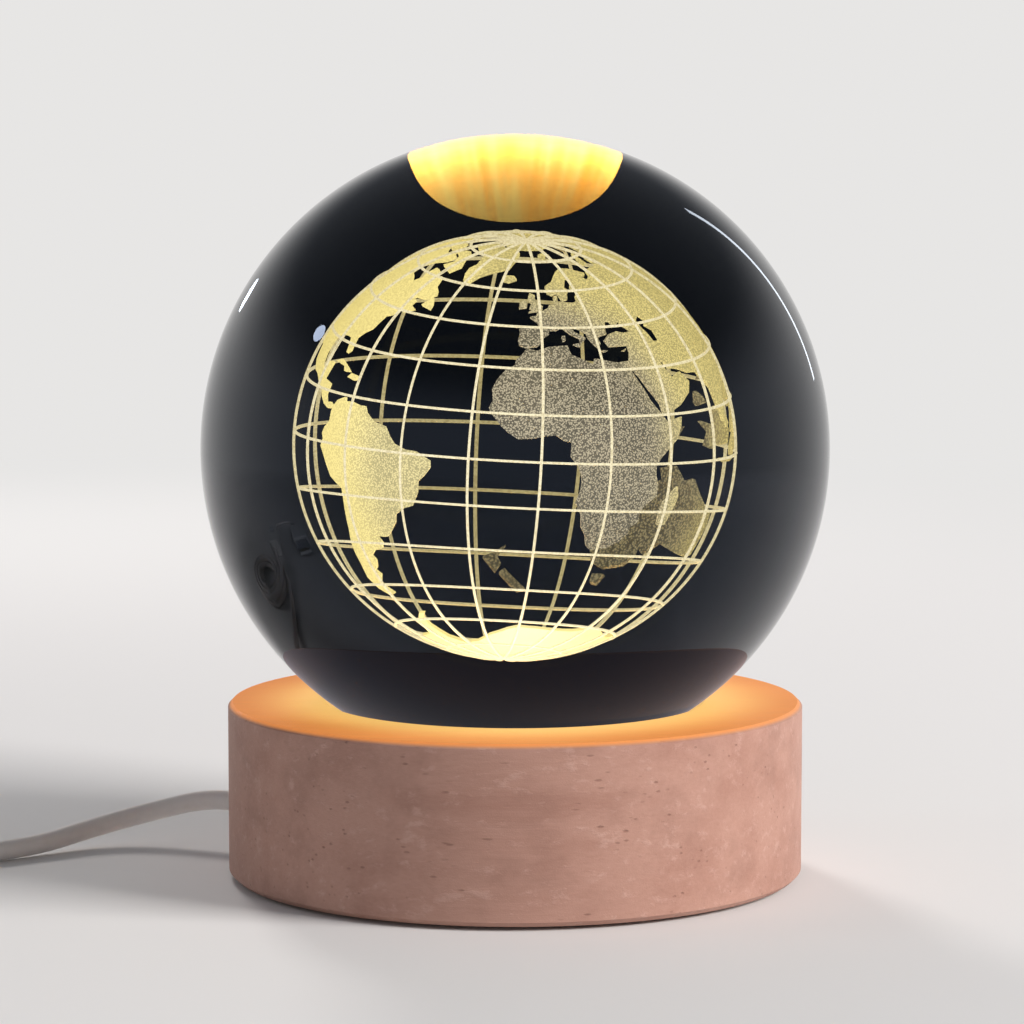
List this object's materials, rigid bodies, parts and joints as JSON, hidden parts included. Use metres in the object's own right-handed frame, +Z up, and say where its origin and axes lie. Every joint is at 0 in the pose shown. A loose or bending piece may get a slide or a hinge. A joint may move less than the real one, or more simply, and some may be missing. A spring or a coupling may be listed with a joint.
{
  "type": "crystal ball lamp",
  "caption": "Crystal ball lamp: a glass ball with an engraved globe on a round wooden light base, with a lead to a push switch and a flat plug.",
  "frame": {"origin": "on the table under the middle of the round base", "axes": "+Z up through the base and the ball, -Y towards the front of the globe, with the lead leaving at the back left"},
  "size_m": [0.2112, 0.08, 0.0946],
  "materials": {
    "beech": "satin",
    "ball_glass": "polished",
    "engraving": "frosted",
    "opal_acrylic": "opal",
    "board": "satin",
    "chips": "gloss",
    "resistors": "matte",
    "red_insulation": "satin",
    "black_insulation": "satin",
    "white_jacket": "satin",
    "nylon": "satin",
    "white_rubber": "matte",
    "black_rubber": "matte",
    "cover_plastic": "textured",
    "wire_tie": "satin",
    "white_plastic": "satin",
    "button_plastic": "satin",
    "spring_brass": "satin",
    "plug_steel": "satin",
    "tongue_plastic": "satin"
  },
  "bodies": {
    "base": {"wood_base": "beech", "light_window": "opal_acrylic", "led_board": "board", "led_chips": "chips", "chip_resistors": "resistors", "supply_wire": "red_insulation", "return_wire": "black_insulation", "cord_inside": "white_jacket", "cord_lead": "white_jacket", "cord_coil": "white_jacket", "cord_tail": "white_jacket", "cord_end": "white_jacket", "cord_stop": "nylon", "cord_grommet": "white_rubber", "plug_relief": "white_rubber", "rubber_feet": "black_rubber", "bottom_cover": "cover_plastic", "coil_tie": "wire_tie", "switch_lower_shell": "white_plastic", "switch_upper_shell": "white_plastic", "plug_grip": "white_plastic", "switch_contacts": "spring_brass", "plug_contacts": "spring_brass", "plug_shell": "plug_steel", "plug_tongue": "tongue_plastic"},
    "ball": {"crystal_ball": "ball_glass", "globe_meridians": "engraving", "globe_parallels": "engraving", "globe_lands": "engraving"},
    "button": {"switch_button": "button_plastic"}
  },
  "joints": [
    {"name": "ball_lift", "type": "slide", "parent": "base", "child": "ball", "axis": [0, 0, 1], "range_m": [0, 0.06]},
    {"name": "button_press", "type": "slide", "parent": "base", "child": "button", "axis": [0, 0, -1], "range_m": [0, 0.0012], "stiffness_N_per_m": 300, "springref_m": -0.001}
  ]
}
